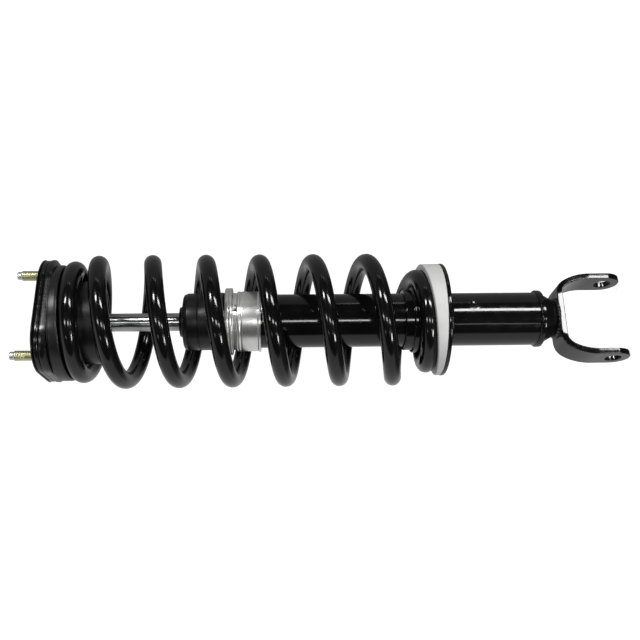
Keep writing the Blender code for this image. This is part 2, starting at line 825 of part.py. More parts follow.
def mount_lower_plate(group):
    shape = bmesh.new()
    add_stack(shape, (
        (mount_outline(0.3, FLANGE_FOOT_R), FLANGE_FOOT),
        (mount_outline(), FLANGE_WAIST),
        (mount_outline(), FLANGE_TOP),
    ))
    plate = placed("mount_lower_plate", shape, GLOSS_BLACK, group)
    can = bmesh.new()
    add_prism(can, circle(CAN_R, SIDES), CAN_FOOT, FLANGE_TOP)
    boolean(plate, tool_shape("plate_can", can), "UNION")
    hole = bmesh.new()
    add_prism(hole, circle(CAN_R - 2.2, SIDES), CAN_FOOT - 1.0, FLANGE_TOP + 1.0)
    boolean(plate, tool_shape("plate_can_bore", hole), "DIFFERENCE")
    return plate


def mount_studs(group):
    head_foot = CUSHION_FOOT + 0.4
    outline = [
        (0.0, head_foot),
        (8.0, head_foot),
        (8.0, PLATE_FOOT - GAP),
        (STUD_R, PLATE_FOOT - GAP),
        (STUD_R, STUD_TIP - STUD_POINT_LENGTH),
        (STUD_POINT_R, STUD_TIP - STUD_POINT_LENGTH + 0.9),
        (STUD_POINT_R, STUD_TIP - 0.6),
        (STUD_POINT_R - 0.6, STUD_TIP),
        (0.0, STUD_TIP),
    ]
    for count, (x, y) in enumerate(stud_places(), start=1):
        stud = turned(f"mount_stud_{count}", outline, YELLOW_ZINC, group, BOLT_SIDES)
        stud.location = (x * MM, y * MM, 0.0)


def bumper_cup(group):
    floor = ROD_SHOULDER + GAP
    outline = [
        (ROD_THREAD_R + GAP, floor),
        (31.0, floor),
        (31.0, 533.0),
        (33.0, 533.0),
        (33.0, floor + 1.0),
        (32.0, floor + 2.0),
        (ROD_THREAD_R + GAP, floor + 2.0),
    ]
    return turned("bumper_cup", outline, STEEL, group)


def mount_inner_sleeve(group):
    inside = ROD_THREAD_R + GAP
    return washer("mount_inner_sleeve", inside, 11.5, ROD_SHOULDER + 2.6, 563.0, STEEL, group)


def mount_bush_rubber(group):
    outside = CAN_R - 2.2 - GAP
    outline = [
        (11.8, 545.0),
        (20.0, 545.0),
        (outside, CAN_FOOT + 0.5),
        (outside, 560.8),
        (PLATE_HOLE_R - 0.6, 561.6),
        (11.8, 561.6),
    ]
    return turned("mount_bush_rubber", outline, RUBBER, group)


def mount_pieces(group):
    mount_upper_plate(group)
    mount_cushion(group)
    mount_lower_plate(group)
    mount_inner_sleeve(group)
    mount_bush_rubber(group)
    mount_studs(group)
    upper_spring_isolator(group)
    bumper_cup(group)
    washer_top = 565.5
    washer("top_washer", ROD_THREAD_R + GAP, 18.0, 563.3, washer_top, STEEL, group)
    nut_foot = washer_top + GAP
    hexagon_nut("rod_nut", 21.0, ROD_THREAD_R + GAP, nut_foot, nut_foot + 7.5, STEEL, group)


def damper_pieces(group):
    clevis_yoke(group)
    base_cup(group)
    body_tube(group)
    pressure_tube(group)
    foot_valve_body(group)
    foot_valve_bolt(group)
    shim_stack("foot_valve_shim", VALVE_BORE_R, VALVE_FLANGE_FOOT - GAP, group)
    stop_plate("foot_valve_stop_plate", VALVE_BORE_R, VALVE_TOP + GAP, group)
    rod_guide(group)
    guide_bushing(group)
    rod_seal(group)
    seal_cover(group)
    strike_cap(group)
    strike_ring(group)
    lower_spring_seat(group)
    lower_spring_isolator(group)
    coil_spring(group)


def rod_pieces(group):
    piston_rod(group)
    piston(group)
    piston_band(group)
    shim_stack("piston_shim", PISTON_BORE_R, PISTON_FOOT - GAP, group)
    stop_plate("piston_stop_plate", PISTON_BORE_R, PISTON_TOP + GAP, group)
    nut_top = PISTON_FOOT - len(SHIM_RADII) * (SHIM_THICKNESS + GAP) - GAP
    hexagon_nut("piston_nut", 17.0, PISTON_BORE_R, nut_top - 9.0, nut_top, STEEL, group)
    rebound_stop_ring(group)
    rebound_cushion(group)


def main():
    clear_scene()
    damper_pieces(moving_group("damper_body"))
    rod_group = moving_group("rod_assembly")
    rod_pieces(rod_group)
    mount_pieces(rod_group)
    jounce_bumper(moving_group("bumper_slide"))
    check_disc("foot_check_disc", VALVE_TOP + GAP, moving_group("foot_check"))
    check_disc("piston_check_disc", PISTON_TOP + GAP, moving_group("piston_check"))


main()
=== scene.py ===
"""Looks of the strut: fine meshes, procedural finishes, soft studio light and the camera.

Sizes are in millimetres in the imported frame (+Z up the damper, +X along the lower bolt),
and each mesh is scaled to metres when it is made.
"""

import functools
import json
import math

import bmesh
import bpy
from mathutils import Matrix, Vector, noise


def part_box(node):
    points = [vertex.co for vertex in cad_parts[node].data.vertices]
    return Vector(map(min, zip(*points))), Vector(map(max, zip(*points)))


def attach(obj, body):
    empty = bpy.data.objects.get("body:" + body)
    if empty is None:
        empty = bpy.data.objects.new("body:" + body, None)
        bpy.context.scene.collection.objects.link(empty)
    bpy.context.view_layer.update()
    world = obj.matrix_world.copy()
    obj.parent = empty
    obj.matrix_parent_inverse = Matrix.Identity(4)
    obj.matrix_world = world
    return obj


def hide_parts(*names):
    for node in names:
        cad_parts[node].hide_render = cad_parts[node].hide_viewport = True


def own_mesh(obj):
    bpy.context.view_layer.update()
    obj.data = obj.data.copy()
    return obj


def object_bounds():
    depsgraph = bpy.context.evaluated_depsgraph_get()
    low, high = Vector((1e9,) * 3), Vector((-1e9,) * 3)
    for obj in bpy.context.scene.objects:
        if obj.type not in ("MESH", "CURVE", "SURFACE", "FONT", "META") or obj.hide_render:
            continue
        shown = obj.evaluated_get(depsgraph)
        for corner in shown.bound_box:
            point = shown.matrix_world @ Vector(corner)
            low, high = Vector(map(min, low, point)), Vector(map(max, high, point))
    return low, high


MM = 0.001
SHARP = math.radians(38)  # edges bent more than this are shaded as edges
WELD = 0.0004             # mesh points closer than this are one

# Driving sizes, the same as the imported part's.
SPRING_CLOCK = -18.9      # degrees from +X where turn 0 of the spring is
SPRING_OFFSET = 0.5       # how far the coils stand off the axis, towards SPRING_CLOCK
WIRE_R = 8.6
WIRE_ROOM = 9.0           # radius of the groove that the wire lies in
SPRING_STATIONS = (       # the wire's centre line, as (turn, height, distance from the axis)
    (-6.72, 185.6, 44.6),
    (-6.5, 187.7, 45.3),
    (-6.25, 191.1, 43.8),
    (-6.0, 196.8, 41.6),
    (-5.5, 220.9, 57.8),
    (-5.0, 247.6, 57.7),
    (-2.75, 367.0, 57.6),
    (-0.5, 484.7, 57.5),
    (0.0, 510.6, 57.1),
    (0.5, 525.8, 51.3),
    (1.0, 533.2, 51.7),
    (1.22, 537.0, 51.6),
)
NEST_RIM_STATIONS = (     # the lower isolator's rim, as (turn, height)
    (-6.76, 177.2),
    (-6.5, 179.0),
    (-6.25, 185.5),
    (-6.0, 192.6),
    (-5.74, 195.0),
)
TUBE_R = 26.7
ROD_R = 9.0
THREAD_R = 7.0            # of the rod's threaded end
THREAD_PITCH = 1.5
CUP_WALL = 2.0            # thickness of the bumper cup's floor
STUD_CIRCLE_R = 47.0
STUD_ANGLES = (90.0, 210.0, 330.0)
MOUNT_CORNERS = (         # the circles that the mount's outline is drawn round, as (x, y, radius)
    (-22.0, -15.0, 33.0),
    (25.5, -7.0, 36.0),
    (-11.0, 20.0, 42.0),
)
EAR_HALF_WIDTH = 16.4
STRIP_THICKNESS = 5.9
EAR_INSIDE = 37.0
EAR_HOLE_R = 8.0
WEB_FLAT = 22.5
SHOULDER_R = 12.0
SHOULDER_DEGREES = 60.0
SEAT_STEEL_TOP = 174.4    # where the lower isolator starts, which doesn't move
ISOLATOR_TOP = 549.2      # where the upper isolator ends, which doesn't flatten

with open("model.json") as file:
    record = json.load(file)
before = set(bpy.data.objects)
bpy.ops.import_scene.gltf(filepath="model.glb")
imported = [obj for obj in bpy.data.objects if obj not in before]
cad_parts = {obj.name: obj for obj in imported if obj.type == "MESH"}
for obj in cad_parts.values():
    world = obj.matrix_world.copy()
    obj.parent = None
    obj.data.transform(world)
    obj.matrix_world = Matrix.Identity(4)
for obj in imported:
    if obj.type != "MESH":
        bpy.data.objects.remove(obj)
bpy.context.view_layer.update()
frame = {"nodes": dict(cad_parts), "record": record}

SPANS = {node: tuple(corner.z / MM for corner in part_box(node)) for node in frame["nodes"]}


def span(node):
    """Lowest and highest Z of a CAD node, in millimetres."""
    return SPANS[node]


# ---------------------------------------------------------------- finishes

def node_kit(name):
    """A new material, with its nodes, its links and its coordinates."""
    material = bpy.data.materials.new(name)
    material.use_nodes = True
    nodes = material.node_tree.nodes
    links = material.node_tree.links
    coords = nodes.new("ShaderNodeTexCoord")
    return material, nodes, links, coords


def stretched(nodes, links, coords, stretch):
    """Object coordinates, scaled along each axis."""
    mapping = nodes.new("ShaderNodeMapping")
    mapping.inputs["Scale"].default_value = stretch
    links.new(coords.outputs["Object"], mapping.inputs["Vector"])
    return mapping.outputs["Vector"]


def noise_of(nodes, links, vector, scale, detail=3.0, roughness=0.5):
    """Noise whose cells are about 1/scale metres across."""
    texture = nodes.new("ShaderNodeTexNoise")
    texture.inputs["Scale"].default_value = scale
    texture.inputs["Detail"].default_value = detail
    texture.inputs["Roughness"].default_value = roughness
    links.new(vector, texture.inputs["Vector"])
    return texture.outputs["Fac"]


def ranged(nodes, links, value, low, high, start=0.3, end=0.7):
    """Spreads a value's stretch from start to end over low to high."""
    spread = nodes.new("ShaderNodeMapRange")
    spread.inputs["From Min"].default_value = start
    spread.inputs["From Max"].default_value = end
    spread.inputs["To Min"].default_value = low
    spread.inputs["To Max"].default_value = high
    links.new(value, spread.inputs["Value"])
    return spread.outputs["Result"]


def tinted(nodes, links, value, dark, light):
    """A colour between dark and light, by a noise value."""
    ramp = nodes.new("ShaderNodeValToRGB")
    for element, position, colour in zip(ramp.color_ramp.elements, (0.3, 0.7), (dark, light)):
        element.position = position
        element.color = (*colour, 1.0)
    links.new(value, ramp.inputs["Fac"])
    return ramp.outputs["Color"]


def bumped(nodes, links, shader, layers):
    """Chains bumps, given as (height, depth in metres), into a shader's normal."""
    normal = None
    for height, depth in layers:
        bump = nodes.new("ShaderNodeBump")
        bump.inputs["Distance"].default_value = depth
        links.new(height, bump.inputs["Height"])
        if normal is not None:
            links.new(normal, bump.inputs["Normal"])
        normal = bump.outputs["Normal"]
    links.new(normal, shader.inputs["Normal"])


def surface(name, dark, light, rough, metallic=0.0, cell=30.0, grain=(900.0, 8e-6),
            stretch=(1.0, 1.0, 1.0), broad=None, specular=0.5):
    """A finish with mottled colour, uneven roughness and a fine grain.

    dark and light are the colour's ends, rough the roughness's ends, cell the mottling's scale,
    grain the fine bump's (scale, depth), stretch the grain's stretch, broad a second, wider bump."""
    material, nodes, links, coords = node_kit(name)
    shader = nodes["Principled BSDF"]
    mottle = noise_of(nodes, links, coords.outputs["Object"], cell, 5.0, 0.6)
    links.new(tinted(nodes, links, mottle, dark, light), shader.inputs["Base Color"])
    uneven = noise_of(nodes, links, stretched(nodes, links, coords, stretch), cell * 3.1, 4.0)
    links.new(ranged(nodes, links, uneven, *rough), shader.inputs["Roughness"])
    shader.inputs["Metallic"].default_value = metallic
    shader.inputs["Specular IOR Level"].default_value = specular
    fine = noise_of(nodes, links, stretched(nodes, links, coords, stretch), grain[0], 2.0)
    layers = [(fine, grain[1])]
    if broad:
        layers.append((noise_of(nodes, links, coords.outputs["Object"], broad[0], 1.0), broad[1]))
    bumped(nodes, links, shader, layers)
    return material


def machined(name, dark, light, rough):
    """Metal with fine turning marks round Z and a slightly stained colour."""
    rings = (8.0, 8.0, 900.0)
    return surface(name, dark, light, rough, 1.0, cell=60.0, grain=(4.0, 3e-6), stretch=rings)


def yellow_zinc():
    """Yellow passivated zinc: olive gold that turns to silver on the stud's point."""
    material, nodes, links, coords = node_kit("yellow_zinc")
    shader = nodes["Principled BSDF"]
    shader.inputs["Metallic"].default_value = 1.0
    stain = noise_of(nodes, links, coords.outputs["Object"], 260.0, 3.0)
    gold = tinted(nodes, links, stain, (0.54, 0.535, 0.31), (0.66, 0.655, 0.40))
    height = nodes.new("ShaderNodeSeparateXYZ")
    links.new(coords.outputs["Object"], height.inputs["Vector"])
    tip = span("mount_stud_1")[1] * MM
    share = ranged(nodes, links, height.outputs["Z"], 0.0, 1.0, tip - 0.0062, tip - 0.0035)
    mix = nodes.new("ShaderNodeMix")
    mix.data_type = "RGBA"
    links.new(share, mix.inputs["Factor"])
    links.new(gold, mix.inputs["A"])
    mix.inputs["B"].default_value = (0.70, 0.69, 0.64, 1.0)
    links.new(mix.outputs["Result"], shader.inputs["Base Color"])
    links.new(ranged(nodes, links, stain, 0.34, 0.42), shader.inputs["Roughness"])
    grain = noise_of(nodes, links, coords.outputs["Object"], 1500.0, 2.0)
    bumped(nodes, links, shader, [(grain, 1e-6)])
    return material


def chrome():
    """Polished chrome with fine grinding marks round Z, which smear reflections along the rod."""
    material, nodes, links, coords = node_kit("chrome_rod")
    shader = nodes["Principled BSDF"]
    shader.inputs["Metallic"].default_value = 1.0
    shader.inputs["Anisotropic"].default_value = 1.0
    shader.inputs["Anisotropic Rotation"].default_value = 0.25
    around = nodes.new("ShaderNodeTangent")
    around.direction_type = "RADIAL"
    around.axis = "Z"
    links.new(around.outputs["Tangent"], shader.inputs["Tangent"])
    stain = noise_of(nodes, links, coords.outputs["Object"], 80.0)
    shade = tinted(nodes, links, stain, (0.60, 0.60, 0.605), (0.72, 0.72, 0.725))
    links.new(shade, shader.inputs["Base Color"])
    links.new(ranged(nodes, links, stain, 0.29, 0.33), shader.inputs["Roughness"])
    return material


def rougher_above(material, start, extra):
    """Adds to a finish's roughness above a height in millimetres, as on the upper mount."""
    nodes, links = material.node_tree.nodes, material.node_tree.links
    roughness = nodes["Principled BSDF"].inputs["Roughness"]
    usual = roughness.links[0].from_socket
    height = nodes.new("ShaderNodeSeparateXYZ")
    links.new(nodes["Texture Coordinate"].outputs["Object"], height.inputs["Vector"])
    change = ranged(nodes, links, height.outputs["Z"], 0.0, extra, (start - 0.5) * MM, start * MM)
    total = nodes.new("ShaderNodeMath")
    links.new(usual, total.inputs[0])
    links.new(change, total.inputs[1])
    links.new(total.outputs["Value"], roughness)
    return material


def lacquered(material):
    """Lays a thin clear passivation film over a finish, which adds a sharper reflection."""
    shader = material.node_tree.nodes["Principled BSDF"]
    shader.inputs["Coat Weight"].default_value = 1.0
    shader.inputs["Coat Roughness"].default_value = 0.2
    return material


def finishes():
    """Every finish of the record's material slots, by slot name."""
    black = (0.0025, 0.0025, 0.0027), (0.0045, 0.0045, 0.0047)
    return {
        "gloss_black_paint": rougher_above(surface(
            "gloss_black_paint", *black, (0.07, 0.16), cell=40.0, grain=(420.0, 1.1e-5),
            broad=(90.0, 3.5e-5)), ISOLATOR_TOP, 0.11),
        "spring_powder_coat": surface(
            "spring_powder_coat", *black, (0.08, 0.17), cell=40.0, grain=(480.0, 1.5e-5),
            broad=(120.0, 4e-5)),
        "grey_isolator": surface(
            "grey_isolator", (0.56, 0.56, 0.555), (0.62, 0.62, 0.615), (0.42, 0.6), cell=55.0,
            grain=(1400.0, 1.2e-5)),
        "bare_steel": machined("bare_steel", (0.36, 0.36, 0.37), (0.52, 0.52, 0.53), (0.30, 0.44)),
        "sintered_iron": surface(
            "sintered_iron", (0.16, 0.16, 0.17), (0.34, 0.34, 0.34), (0.5, 0.75), metallic=0.8,
            cell=160.0, grain=(2200.0, 3e-5)),
        "bronze": machined("bronze", (0.42, 0.26, 0.11), (0.6, 0.42, 0.2), (0.25, 0.4)),
        "black_rubber": rougher_above(surface(
            "black_rubber", (0.003, 0.003, 0.0032), (0.0055, 0.0055, 0.0055), (0.30, 0.40), cell=45.0,
            grain=(1100.0, 1.4e-5), broad=(150.0, 3e-5)), ISOLATOR_TOP + 6.0, -0.18),
        "zinc_plate": lacquered(surface(
            "zinc_plate", (0.80, 0.80, 0.79), (0.90, 0.90, 0.89), (0.29, 0.33), metallic=0.88, cell=70.0,
            grain=(160.0, 1.2e-6), stretch=(1.0, 1.0, 5.0), broad=(60.0, 3e-6))),
        "bumper_foam": surface(
            "bumper_foam", (0.004, 0.004, 0.0042), (0.007, 0.007, 0.007), (0.29, 0.36), cell=60.0,
            grain=(1300.0, 8e-6), broad=(200.0, 2e-5), specular=0.42),
        "chrome_rod": chrome(),
        "low_friction_plastic": surface(
            "low_friction_plastic", (0.22, 0.15, 0.07), (0.34, 0.25, 0.14), (0.4, 0.6), cell=120.0,
            grain=(1500.0, 1e-5)),
        "yellow_zinc": yellow_zinc(),
    }


FINISHES = finishes()
SLOT_OF = {row["node"]: row["material_slot"] for row in frame["record"]["subparts"]}
BODY_OF = {node: body for body, nodes in frame["record"]["behaviour"]["bodies"].items() for node in nodes}


def repaint_frame():
    """Gives every CAD node its slot's finish, whether or not a fine piece stands for it."""
    for node, thing in frame["nodes"].items():
        thing.data.materials.clear()
        thing.data.materials.append(FINISHES[SLOT_OF[node]])


# ---------------------------------------------------------------- mesh tools

def piece(shape, node, name=None, stands_for=True):
    """Makes a bmesh in millimetres into a piece in metres that rides with a CAD node's body.

    It takes the node's slot and finish, and is drawn in the node's place unless stands_for is off."""
    bmesh.ops.remove_doubles(shape, verts=shape.verts, dist=WELD)
    bmesh.ops.recalc_face_normals(shape, faces=shape.faces)
    bmesh.ops.scale(shape, vec=(MM, MM, MM), verts=shape.verts)
    mesh = bpy.data.meshes.new(name or "fine_" + node)
    shape.to_mesh(mesh)
    shape.free()
    mesh.shade_smooth()
    mesh.set_sharp_from_angle(angle=SHARP)
    thing = bpy.data.objects.new(mesh.name, mesh)
    bpy.context.scene.collection.objects.link(thing)
    mesh.materials.append(FINISHES[SLOT_OF[node]])
    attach(thing, BODY_OF[node])
    if stands_for:
        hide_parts(node)
    return thing


def rounded(outline, closed=True, steps=4):
    """Rounds an outline's corners. Each point is (radius, height) or (radius, height, rounding)."""
    points = []
    count = len(outline)
    for index, row in enumerate(outline):
        here = Vector(row[:2])
        rounding = row[2] if len(row) > 2 else 0.0
        inner = closed or 0 < index < count - 1
        if not rounding or not inner:
            points.append(tuple(here))
            continue
        before = (Vector(outline[index - 1][:2]) - here).normalized()
        after = (Vector(outline[(index + 1) % count][:2]) - here).normalized()
        half = before.angle(after) / 2
        reach = rounding / math.tan(half)
        centre = here + (before + after).normalized() * (rounding / math.sin(half))
        start, end = here + before * reach - centre, here + after * reach - centre
        turn = start.angle_signed(end)
        for step in range(steps + 1):
            angle = -turn * step / steps
            spun = Matrix.Rotation(angle, 2) @ start
            points.append(tuple(centre + spun))
    return points


def worth(value, angle):
    """A size, or a function of the angle round Z."""
    return value(angle) if callable(value) else value


def lathe(outline, sides=112, closed=True, angles=None):
    """Spins (radius, height) points round Z. A radius or a height may be a function of the angle."""
    shape = bmesh.new()
    angles = angles or [2 * math.pi * index / sides for index in range(sides)]
    columns = []
    for angle in angles:
        column = []
        for radius, height in outline:
            reach = worth(radius, angle)
            place = (reach * math.cos(angle), reach * math.sin(angle), worth(height, angle))
            column.append(shape.verts.new(place))
        columns.append(column)
    rows = len(outline)
    last = rows if closed else rows - 1
    for here, there in zip(columns, columns[1:] + columns[:1]):
        for index in range(last):
            following = (index + 1) % rows
            shape.faces.new((here[index], there[index], there[following], here[following]))
    if not closed:
        bmesh.ops.remove_doubles(shape, verts=shape.verts, dist=WELD)
    return shape


def turned(node, outline, sides=112, closed=True):
    """A round piece, from an outline with its corners' roundings."""
    return piece(lathe(rounded(outline, closed), sides, closed), node)


def cut_with(thing, cutters):
    """Takes cutters, as bmeshes in millimetres, out of a piece."""
    for cutter in cutters:
        bmesh.ops.recalc_face_normals(cutter, faces=cutter.faces)
        bmesh.ops.scale(cutter, vec=(MM, MM, MM), verts=cutter.verts)
        mesh = bpy.data.meshes.new("cutter")
        cutter.to_mesh(mesh)
        cutter.free()
        tool = bpy.data.objects.new("cutter", mesh)
        bpy.context.scene.collection.objects.link(tool)
        change = thing.modifiers.new("cut", "BOOLEAN")
        change.operation = "DIFFERENCE"
        change.object = tool
        bpy.context.view_layer.update()
        view = bpy.context.evaluated_depsgraph_get()
        done = bpy.data.meshes.new_from_object(thing.evaluated_get(view))
        thing.modifiers.remove(change)
        bpy.data.objects.remove(tool)
        thing.data = done
    thing.data.shade_smooth()
    thing.data.set_sharp_from_angle(angle=SHARP)
    return thing


def box_shape(size, centre, turn):
    """A box, moved out to its centre and then turned round Z."""
    shape = bmesh.new()
    bmesh.ops.create_cube(shape, size=1.0)
    bmesh.ops.scale(shape, vec=size, verts=shape.verts)
    bmesh.ops.translate(shape, vec=centre, verts=shape.verts)
    bmesh.ops.rotate(shape, cent=(0, 0, 0), matrix=Matrix.Rotation(turn, 3, "Z"), verts=shape.verts)
    return shape


def rod_shape(radius, foot, top, centre, sides):
    """An upright round bar."""
    shape = lathe([(0.0, foot), (radius, foot), (radius, top), (0.0, top)], sides, closed=False)
    bmesh.ops.translate(shape, vec=(*centre, 0.0), verts=shape.verts)
    return shape


def on_circle(radius, degrees):
    """X and Y of a place on a circle round Z."""
    angle = math.radians(degrees)
    return radius * math.cos(angle), radius * math.sin(angle)


def read_stations(stations, turn, column):
    """A smooth curve through a table's stations that never overshoots them."""
    turns = [row[0] for row in stations]
    values = [row[column] for row in stations]
    slopes = [(b - a) / (t - s) for a, b, s, t in zip(values, values[1:], turns, turns[1:])]
    at = max(index for index in range(len(slopes)) if turns[index] <= max(turn, turns[0]))

    def tangent(index):
        if index in (0, len(slopes)):
            return slopes[min(index, len(slopes) - 1)]
        before, after = slopes[index - 1], slopes[index]
        return 0.0 if before * after <= 0 else 2 * before * after / (before + after)

    width = turns[at + 1] - turns[at]
    u = (turn - turns[at]) / width
    start = values[at] * (1 + 2 * u) * (1 - u) ** 2 + tangent(at) * width * u * (1 - u) ** 2
    end = values[at + 1] * u * u * (3 - 2 * u) + tangent(at + 1) * width * u * u * (u - 1)
    return start + end


def wire_centre(turn):
    """Height and distance from the axis of the spring wire's centre line."""
    offset = SPRING_OFFSET * math.cos(2 * math.pi * turn)
    return read_stations(SPRING_STATIONS, turn, 1), read_stations(SPRING_STATIONS, turn, 2) + offset


def turn_angle(turn):
    """Angle round Z, in radians, of a turn of the spring."""
    return math.radians(SPRING_CLOCK) + 2 * math.pi * turn


def wire_point(turn):
    """Place of the spring wire's centre line at a turn."""
    height, radius = wire_centre(turn)
    angle = turn_angle(turn)
    return Vector((radius * math.cos(angle), radius * math.sin(angle), height))


# ---------------------------------------------------------------- lower end

def bend_path():
    """Half of the yoke's middle line: its stretches as (length, bend radius), and where they lie."""
    top = span("clevis_yoke")[1]
    middle = EAR_INSIDE + STRIP_THICKNESS / 2
    shoulder = math.radians(SHOULDER_DEGREES)
    corner_x = WEB_FLAT + SHOULDER_R * math.sin(shoulder)
    flare_r = (middle - corner_x) / (1 - math.sin(shoulder))
    web_z = top - STRIP_THICKNESS / 2
    stretches = (
        (WEB_FLAT, None),
        (SHOULDER_R * shoulder, SHOULDER_R),
        (flare_r * (math.pi / 2 - shoulder), flare_r),
    )
    ear_z = (web_z - SHOULDER_R + SHOULDER_R * math.cos(shoulder)
             - flare_r * math.cos(shoulder))
    return stretches, web_z, ear_z + EAR_HALF_WIDTH


YOKE_STRETCHES, YOKE_WEB_Z, YOKE_EAR_RUN = bend_path()


def bent(distance):
    """Place, slope and bend (1/radius) of the yoke's middle line at a distance from its middle."""
    x, z, slope = 0.0, YOKE_WEB_Z, 0.0
    left = abs(distance)
    bend = 0.0
    for length, radius in YOKE_STRETCHES:
        step = min(left, length)
        if radius is None:
            x += step
            bend = 0.0
        else:
            turn = step / radius
            x += radius * (math.sin(slope + turn) - math.sin(slope))
            z += radius * (math.cos(slope + turn) - math.cos(slope))
            slope += turn
            bend = 1 / radius
        left -= step
        if left <= 0:
            return x, z, slope, bend
    return x, z - left, slope, 0.0


def smooth_bend(distance, window=7.0, samples=7):
    """The bend averaged over a short window, so that the strip's edges swell gradually in a bend."""
    steps = [distance + window * (index / (samples - 1) - 0.5) for index in range(samples)]
    return sum(bent(step)[3] for step in steps) / samples


def clevis_yoke():
    """A flat blank with round ends and two holes, its edges rounded, bent into a fork."""
    straight = sum(length for length, _ in YOKE_STRETCHES)
    hole_at = straight + YOKE_EAR_RUN - EAR_HALF_WIDTH
    half_t = STRIP_THICKNESS / 2
    shape = bmesh.new()
    outline = []
    end_steps = 32
    for side in (1, -1):
        for step in range(end_steps + 1):
            angle = -math.pi / 2 + math.pi * step / end_steps
            place = (side * (hole_at + EAR_HALF_WIDTH * math.cos(angle)),
                     side * EAR_HALF_WIDTH * math.sin(angle))
            outline.append(shape.verts.new((*place, -half_t)))
    face = shape.faces.new(outline)
    grown = bmesh.ops.extrude_face_region(shape, geom=[face])
    risen = [part for part in grown["geom"] if isinstance(part, bmesh.types.BMVert)]
    bmesh.ops.translate(shape, vec=(0, 0, STRIP_THICKNESS), verts=risen)
    yoke = piece(shape, "clevis_yoke")
    holes = [rod_shape(EAR_HOLE_R, -half_t - 1, half_t + 1, (side * hole_at, 0.0), 48) for side in (1, -1)]
    cut_with(yoke, holes)

    flat = bmesh.new()
    flat.from_mesh(yoke.data)
    bmesh.ops.scale(flat, vec=(1 / MM,) * 3, verts=flat.verts)
    rims = [edge for edge in flat.edges if edge.calc_face_angle(0.0) > SHARP]
    edge_round, strip_length, edge_swell = 0.9, 1.1, 0.22
    bmesh.ops.bevel(flat, geom=rims, offset=edge_round, segments=3, profile=0.5, affect="EDGES")
    cuts = int(2 * straight / strip_length)
    for index in range(cuts + 1):
        place = -straight + 2 * straight * index / cuts
        geometry = flat.verts[:] + flat.edges[:] + flat.faces[:]
        bmesh.ops.bisect_plane(flat, geom=geometry, plane_co=(place, 0, 0), plane_no=(1, 0, 0), dist=1e-5)
    for vertex in flat.verts:
        distance, across, above = vertex.co
        x, z, slope, _ = bent(distance)
        side = 1.0 if distance >= 0 else -1.0
        swell = 1.0 - edge_swell * above * smooth_bend(distance)
        vertex.co = (side * (x + above * math.sin(slope)), across * swell, z + above * math.cos(slope))
    bmesh.ops.recalc_face_normals(flat, faces=flat.faces)
    bmesh.ops.scale(flat, vec=(MM,) * 3, verts=flat.verts)
    flat.to_mesh(yoke.data)
    flat.free()
    yoke.data.shade_smooth()
    yoke.data.set_sharp_from_angle(angle=math.radians(60))
    weigh = yoke.modifiers.new("even_shading", "WEIGHTED_NORMAL")
    weigh.keep_sharp = True
    return yoke


def weld_bead(name, node, radius, height, size, lean, ripples, seed):
    """A rippled fillet of weld round a bar, above a height, or below it where lean is negative."""
    def swell(angle):
        wave = abs(math.sin(ripples * angle / 2)) * 0.16
        wander = noise.noise(Vector((math.cos(angle) * 2, math.sin(angle) * 2, seed))) * 0.14
        return size * (0.92 + wave + wander)

    arc = [math.pi / 2 * step / 6 for step in range(7)]
    outline = [(radius - 0.2, height)]
    for along in arc:
        outline.append((
            lambda angle, a=along: radius + swell(angle) * math.cos(a) ** 0.8,
            lambda angle, a=along: height + lean * swell(angle) * math.sin(a) ** 0.8,
        ))
    outline.append((radius - 0.2, lambda angle: height + lean * swell(angle)))
    return piece(lathe(outline, 230), node, name=name, stands_for=False)


def base_cup():
    """The tube's foot: a neck, a dome and a bead, with the welds above and below it."""
    foot, top = span("base_cup")
    outline = [
        (0.0, foot),
        (17.5, foot),
        (17.5, 56.8, 1.0),
        (20.2, 60.8, 6.0),
        (24.0, 67.6, 6.0),
        (25.6, 70.2, 1.5),
        (28.7, 71.2, 0.9),
        (28.7, top - 0.4, 1.3),
        (TUBE_R + 0.1, top, 0.3),
        (TUBE_R + 0.1, 72.4),
        (24.2, 71.2, 1.0),
        (21.6, 67.8, 1.0),
        (18.0, 65.0, 1.0),
        (0.0, 65.0),
    ]
    turned("base_cup", outline, closed=False)
    weld_bead("weld_cup_to_tube", "base_cup", TUBE_R, top - 0.2, size=2.0, lean=0.8, ripples=64,
              seed=3)
    weld_bead("weld_cup_to_yoke", "base_cup", 17.5, foot - 0.25, size=3.2, lean=1.0, ripples=30, seed=5)


def body_tube():
    """The damper's tube, with its rolled upper lip and the small dimple in its side."""
    foot, top = span("body_tube")
    dimple_angle, dimple_z, dimple_r = math.radians(-76.0), 141.5, 3.1
    # Columns and rows of points are close together only round the dimple.
    near = [dimple_angle + math.radians(d * 0.9) for d in range(-14, 15)]
    far_start, far_end = near[-1], near[0] + 2 * math.pi
    far = [far_start + (far_end - far_start) * step / 110 for step in range(1, 110)]
    heights = [foot, 76.0]
    heights += [76.0 + 54.0 * step / 8 for step in range(1, 9)]
    heights += [131.0 + 0.7 * step for step in range(31)]
    heights += [155.0 + (top - 1.4 - 155.0) * step / 24 for step in range(25)]

    def wall(height):
        def reach(angle):
            across = (angle - dimple_angle + math.pi) % (2 * math.pi) - math.pi
            away = math.hypot(across * TUBE_R, height - dimple_z) / dimple_r
            dent = 0.85 * math.exp(-(away ** 4)) - 0.16 * math.exp(-((away - 1.35) / 0.3) ** 2)
            drawn = 0.035 * math.sin(height / 19.0 + 2 * angle)
            return TUBE_R - dent - 0.04 - drawn
        return reach

    outline = [(wall(height), height) for height in heights]
    lip = rounded([(TUBE_R, top - 1.4), (TUBE_R, top, 1.2), (16.0, top, 0.5), (16.0, top - 2.0)], False)
    outline += lip[1:]
    outline += [(24.7, top - 2.0), (24.7, foot)]
    return piece(lathe(outline, closed=True, angles=near + far), "body_tube")


